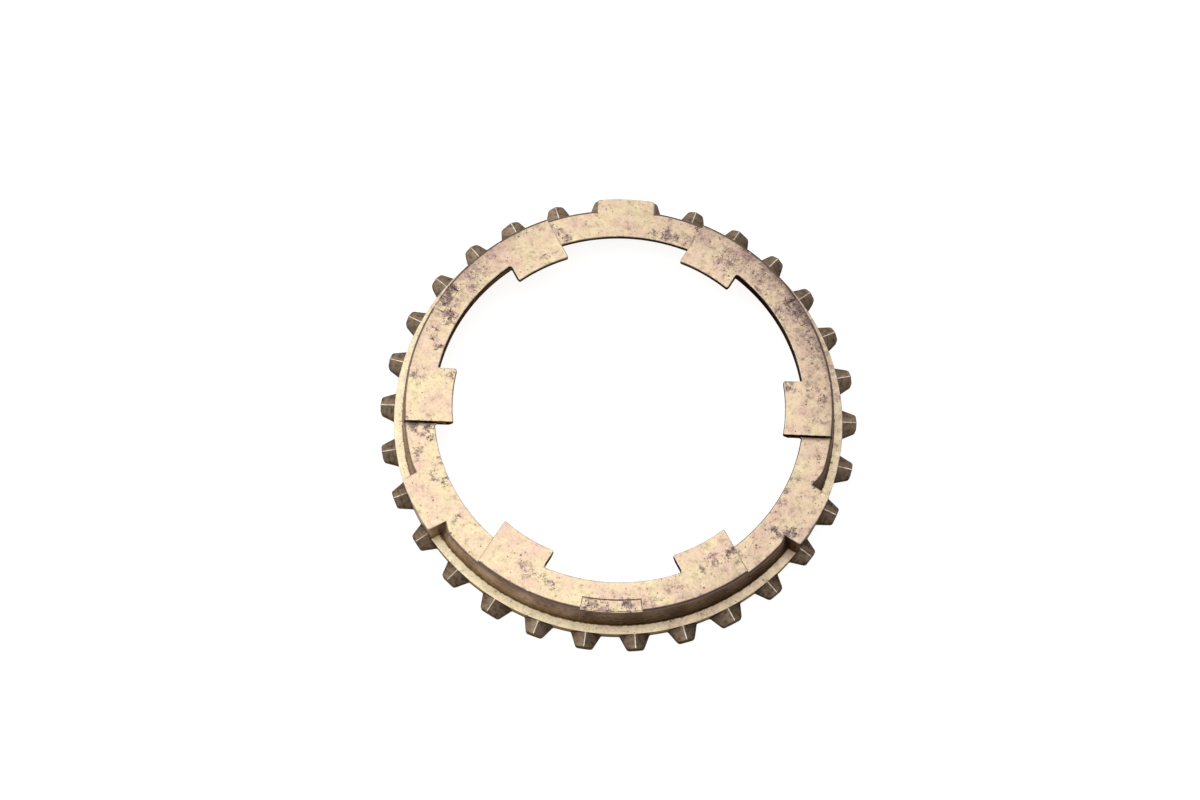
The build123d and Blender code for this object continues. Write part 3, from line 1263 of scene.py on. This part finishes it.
def machined_normals(mesh: bpy.types.Mesh, crease: float = 50.0) -> None:
    """Give each corner the normal of the large faces round it, so that flats stay flat.

    Args:
        mesh: the mesh, in metres.
        crease: degrees beyond which two faces meet in a sharp edge.
    """
    limit = math.cos(math.radians(crease))
    round_vertex: list[list[tuple[Vector, float]]] = [[] for _ in mesh.vertices]
    for face in mesh.polygons:
        for vertex in face.vertices:
            round_vertex[vertex].append((face.normal.copy(), (face.area / MM ** 2) ** 2 + TINY))
    normals = []
    for face in mesh.polygons:
        for vertex in face.vertices:
            total = Vector()
            for normal, weight in round_vertex[vertex]:
                if face.normal.dot(normal) > limit:
                    total += normal * weight
            normals.append(total.normalized())
    mesh.polygons.foreach_set("use_smooth", [True] * len(mesh.polygons))
    mesh.normals_split_custom_set(normals)


@dataclass(frozen=True)
class Zones:
    """Tells the kinds of surface apart by the place, the slope and the width of their faces.

    A slope is the part of a face's normal that points up or outwards, and lengths are
    millimetres.
    """

    sizes: RingSizes
    on_rim: bool
    # Slopes beyond which a face is flat, faces its way or isn't steep, and where rubbing starts.
    flat_ridge: float = 0.97
    flat_ledge: float = 0.9
    flat_top: float = 0.985
    half_turned: float = 0.5
    steep: float = 0.3
    rubbed_from: float = 0.7
    # Width of a rounded edge, and distances within which a face belongs to a place.
    edge_width: float = 0.14
    slack: float = 0.1
    touch: float = 0.05
    web_margin: float = 1.0
    rim_margin: float = 0.5
    step_margin: float = 0.3
    bore_edge: float = 0.4
    border_lap: float = 1.1
    # The bore's edge is dark beyond the first place along X and below the second along Y.
    dark_bore: Point = (12.0, 2.0)
    # Edge wear with a painted highlight, how far from the tip a tooth's ridge has none,
    # over how far it comes in, and how much lighter the wall is at its top.
    edge_highlight_wear: float = 0.7
    unworn_tip: float = 0.35
    tip_fade: float = 0.4
    wall_glow: float = 0.04

    def kind(self, face: bpy.types.MeshPolygon, longest: float) -> tuple[Skin, float, float]:
        """Tell what kind of surface a face is.

        Args:
            face: the face, in metres.
            longest: its longest side.

        Returns:
            The kind of surface, how far it is ledge and how much wear with a painted highlight its
            edge takes.
        """
        s, place, normal = self.sizes, face.center / MM, face.normal
        radius = math.hypot(place.x, place.y)
        outward = (normal.x * place.x + normal.y * place.y) / max(radius, TINY)
        narrow = face.area / MM ** 2 / max(longest, TINY) < self.edge_width
        if normal.z < -self.half_turned:
            return Skin.TURNED, 0.0, 0.0
        if self.on_rim:
            if normal.z > self.flat_ridge:
                tip = s.rim_radius + s.tooth_length
                wear_highlight = (tip - self.unworn_tip - radius) / self.tip_fade
                return Skin.ROOF, 0.0, min(1.0, max(0.0, wear_highlight))
            is_roof = normal.z > self.half_turned and not narrow
            return (Skin.ROOF if is_roof else Skin.FLANK), 0.0, 0.0
        on_ledge = place.z < s.tooth_height + self.slack and radius < s.rim_radius + self.touch
        if on_ledge and normal.z > self.flat_ledge:
            return Skin.RUBBED, 1.0, 0.0
        if outward < -self.half_turned and radius > s.hole_radius + self.web_margin:
            return Skin.TURNED, 0.0, 0.0
        round_top = s.top_radius - self.web_margin < radius < s.rim_radius - self.rim_margin
        on_shoulder = outward > self.steep and round_top
        tilted = self.steep < normal.z < self.flat_top
        if narrow and tilted and not on_shoulder and place.z > s.low - self.step_margin:
            at_bore = abs(radius - s.hole_radius) < self.bore_edge
            if at_bore and place.x > self.dark_bore[0] and place.y < self.dark_bore[1]:
                return Skin.SHADE, 0.0, 0.0
            return Skin.WALL, 0.0, self.edge_highlight_wear
        # The steps, the bore and the sides of the lugs take the painted shade.
        on_step = abs(outward) < self.half_turned and place.z > s.low - self.slack
        in_bore = radius < s.hole_radius + self.touch
        if abs(normal.z) < self.steep and (on_step or in_bore):
            return Skin.SHADE, 0.0, 0.0
        return Skin.WALL, 0.0, 0.0

    def border(self, face: bpy.types.MeshPolygon, longest: float) -> float:
        """Tell whether a face is part of the narrow dirty border of a sunk field.

        Args:
            face: the face, in metres.
            longest: its longest side.

        Returns:
            One on the border, and nought elsewhere.
        """
        s, place = self.sizes, face.center / MM
        radius, floor = math.hypot(place.x, place.y), s.high - s.field_depth
        if not s.field_edge - self.touch < radius < s.top_radius - s.edge_round:
            return 0.0
        if abs(face.normal.z) < self.steep:
            return float(floor < place.z < s.high)
        narrow = face.area / MM ** 2 / max(longest, TINY) < self.border_lap * s.field_border
        shoulder = s.top_radius - s.top_round
        outer = shoulder < radius < shoulder + s.field_border
        return float(abs(place.z - floor) < self.touch and narrow and not outer)

    def level(self, kind: Skin, slope: float, height: float) -> float:
        """Place of a corner on the finish's scale from raw to rubbed.

        Args:
            kind: the kind of surface that it is on.
            slope: the upward part of its normal.
            height: its height.

        Returns:
            The place on the scale.
        """
        lifted = min(1.0, max(0.0, height / self.sizes.low - 0.5) * 2)
        level = kind.value + (self.wall_glow * lifted if kind is Skin.WALL else 0.0)
        rubbed = 0.0 if self.on_rim else (slope - self.rubbed_from) / (1.0 - self.rubbed_from)
        return max(level, min(rubbed, 1.0))


def dress(piece: bpy.types.Object, brass: bpy.types.Material, zones: Zones) -> None:
    """Give a piece its material, its normals and the zones that its finish reads.

    Args:
        piece: the finished object, at the origin.
        brass: the material that it wears.
        zones: what tells the kinds of its surface apart.
    """
    mesh = piece.data
    mesh.materials.clear()
    mesh.materials.append(brass)
    machined_normals(mesh)
    mesh.color_attributes.new("zone", "FLOAT_COLOR", "CORNER")
    mesh.attributes.new("field_border", "FLOAT", "CORNER")
    zone, border = mesh.color_attributes["zone"], mesh.attributes["field_border"]
    slopes = [normal.vector.z for normal in mesh.corner_normals]
    for face in mesh.polygons:
        points = [mesh.vertices[vertex].co for vertex in face.vertices]
        longest = max((a - b).length for a, b in zip(points, points[1:] + points[:1])) / MM
        kind, ledge, wear_highlight = zones.kind(face, longest)
        on_border = zones.border(face, longest)
        for loop, point in zip(face.loop_indices, points):
            level = zones.level(kind, slopes[loop], point.z / MM)
            zone.data[loop].color = (level, ledge, wear_highlight, 1.0)
            border.data[loop].value = on_border


@dataclass(frozen=True)
class Lamp:
    """Soft square lamp that looks at the ring."""

    name: str
    place: Place
    size: float
    watts: float

    def hang(self) -> None:
        """Hang the lamp at its place."""
        data = bpy.data.lights.new(self.name, "AREA")
        data.energy = self.watts
        data.size = self.size * MM
        lamp = bpy.data.objects.new(self.name, data)
        lamp.location = Vector(self.place) * MM
        lamp.rotation_euler = (-lamp.location).to_track_quat("-Z", "Y").to_euler()
        bpy.context.scene.collection.objects.link(lamp)


@dataclass(frozen=True)
class Studio:
    """White paper sweep, soft lamps and the camera."""

    camera_place: Place = (-1.233, -112.506, 316.98)
    camera_forward: Place = (-0.00734, 0.34386, -0.93899)
    camera_up: Place = (-0.03806, 0.93824, 0.34388)
    lens: float = 51.328
    sensor: float = 36.0
    nearest: float = 10.0
    overhead: Lamp = Lamp("overhead_lamp", (-120.0, 140.0, 1200.0), 1500.0, 8.9)
    left: Lamp = Lamp("left_lamp", (-1100.0, 100.0, 620.0), 1500.0, 3.8)
    ambient: float = 0.2
    floor_radius: float = 18000.0
    floor_sides: int = 96
    floor_gap: float = 0.02
    sweep_height: float = 4600.0
    paper_grey: float = 0.36
    paper_glow: float = 0.88
    white: tuple[float, ...] = (1.0, 1.0, 1.0, 1.0)

    def camera(self) -> None:
        """Stand the camera where the photograph was taken from."""
        data = bpy.data.cameras.new("camera")
        data.lens = self.lens
        data.sensor_width = self.sensor
        data.clip_start = self.nearest * MM
        camera = bpy.data.objects.new("camera", data)
        bpy.context.scene.collection.objects.link(camera)
        back = -Vector(self.camera_forward).normalized()
        right = Vector(self.camera_up).cross(back).normalized()
        frame = Matrix((right, back.cross(right), back)).transposed()
        camera.matrix_world = Matrix.Translation(Vector(self.camera_place) * MM) @ frame.to_4x4()
        bpy.context.scene.camera = camera

    def world(self) -> None:
        """Dim even light from all round, so that the lamps shape the metal."""
        world = bpy.data.worlds.new("dim_room")
        bpy.context.scene.world = world
        world.use_nodes = True
        tree = world.node_tree
        tree.nodes.clear()
        room = add_node(tree, "ShaderNodeBackground", {
            "Color": self.white, "Strength": self.ambient})
        add_node(tree, "ShaderNodeOutputWorld", {"Surface": room})

    def paper(self) -> bpy.types.Material:
        """Make the matt white paper, which the camera and the metal see as lit evenly.

        Returns:
            The material.
        """
        paper = bpy.data.materials.new("white_paper")
        paper.use_nodes = True
        tree = paper.node_tree
        tree.nodes.clear()
        rays = add_node(tree, "ShaderNodeLightPath").outputs
        seen = 0.0
        for kind in ("Is Camera Ray", "Is Glossy Ray", "Is Transmission Ray"):
            seen = add_node(tree, "ShaderNodeMath", [seen, rays[kind]], operation="MAXIMUM")
        glow = add_node(tree, "ShaderNodeMath", [seen, self.paper_glow], operation="MULTIPLY")
        grey = (self.paper_grey, self.paper_grey, self.paper_grey, 1.0)
        sheet = add_node(tree, "ShaderNodeBsdfDiffuse", {"Color": grey})
        lit = add_node(tree, "ShaderNodeEmission", {"Color": self.white, "Strength": glow})
        look = add_node(tree, "ShaderNodeAddShader", [sheet, lit])
        add_node(tree, "ShaderNodeOutputMaterial", {"Surface": look})
        return paper

    def floor(self) -> bpy.types.Object:
        """Make the paper that the ring lies on, turned up far away like a photographer's sweep.

        Returns:
            The floor's object.
        """
        count, far = self.floor_sides, self.floor_radius * MM
        turns = [math.tau * k / count for k in range(count)]
        places = [(far * math.cos(turn), far * math.sin(turn), height * MM)
                  for height in (-self.floor_gap, self.sweep_height) for turn in turns]
        sides = [(k, k + count, (k + 1) % count + count, (k + 1) % count) for k in range(count)]
        mesh = bpy.data.meshes.new("floor")
        mesh.from_pydata(places, [], [tuple(range(count))] + sides)
        mesh.materials.append(self.paper())
        floor = bpy.data.objects.new("floor", mesh)
        bpy.context.scene.collection.objects.link(floor)
        return floor

    def build(self) -> None:
        """Set up camera, light, floor and the plain view."""
        self.camera()
        self.world()
        self.overhead.hang()
        self.left.hang()
        self.floor()
        bpy.context.scene.view_settings.view_transform = "Standard"


def main() -> None:
    """Build the ring and its studio, piece by piece."""
    logging.basicConfig(level=logging.INFO, format="%(name)s: %(message)s")
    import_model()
    sizes = RingSizes()
    brass = BrassFinish().material(sizes)
    body = bpy.data.objects.new("ring_body", RingBody(sizes).mesh())
    bpy.context.scene.collection.objects.link(body)
    teeth = DogTeeth(sizes).build(brass)
    for piece in [body] + teeth + [ScrapingThread(RingBody(sizes)).build(brass)]:
        dress(piece, brass, Zones(sizes, piece in teeth))
        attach(piece, "root")
        LOG.info("%s: %d faces", piece.name, len(piece.data.polygons))
    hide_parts(NODE)
    Studio().build()


if __name__ == "__main__":
    main()
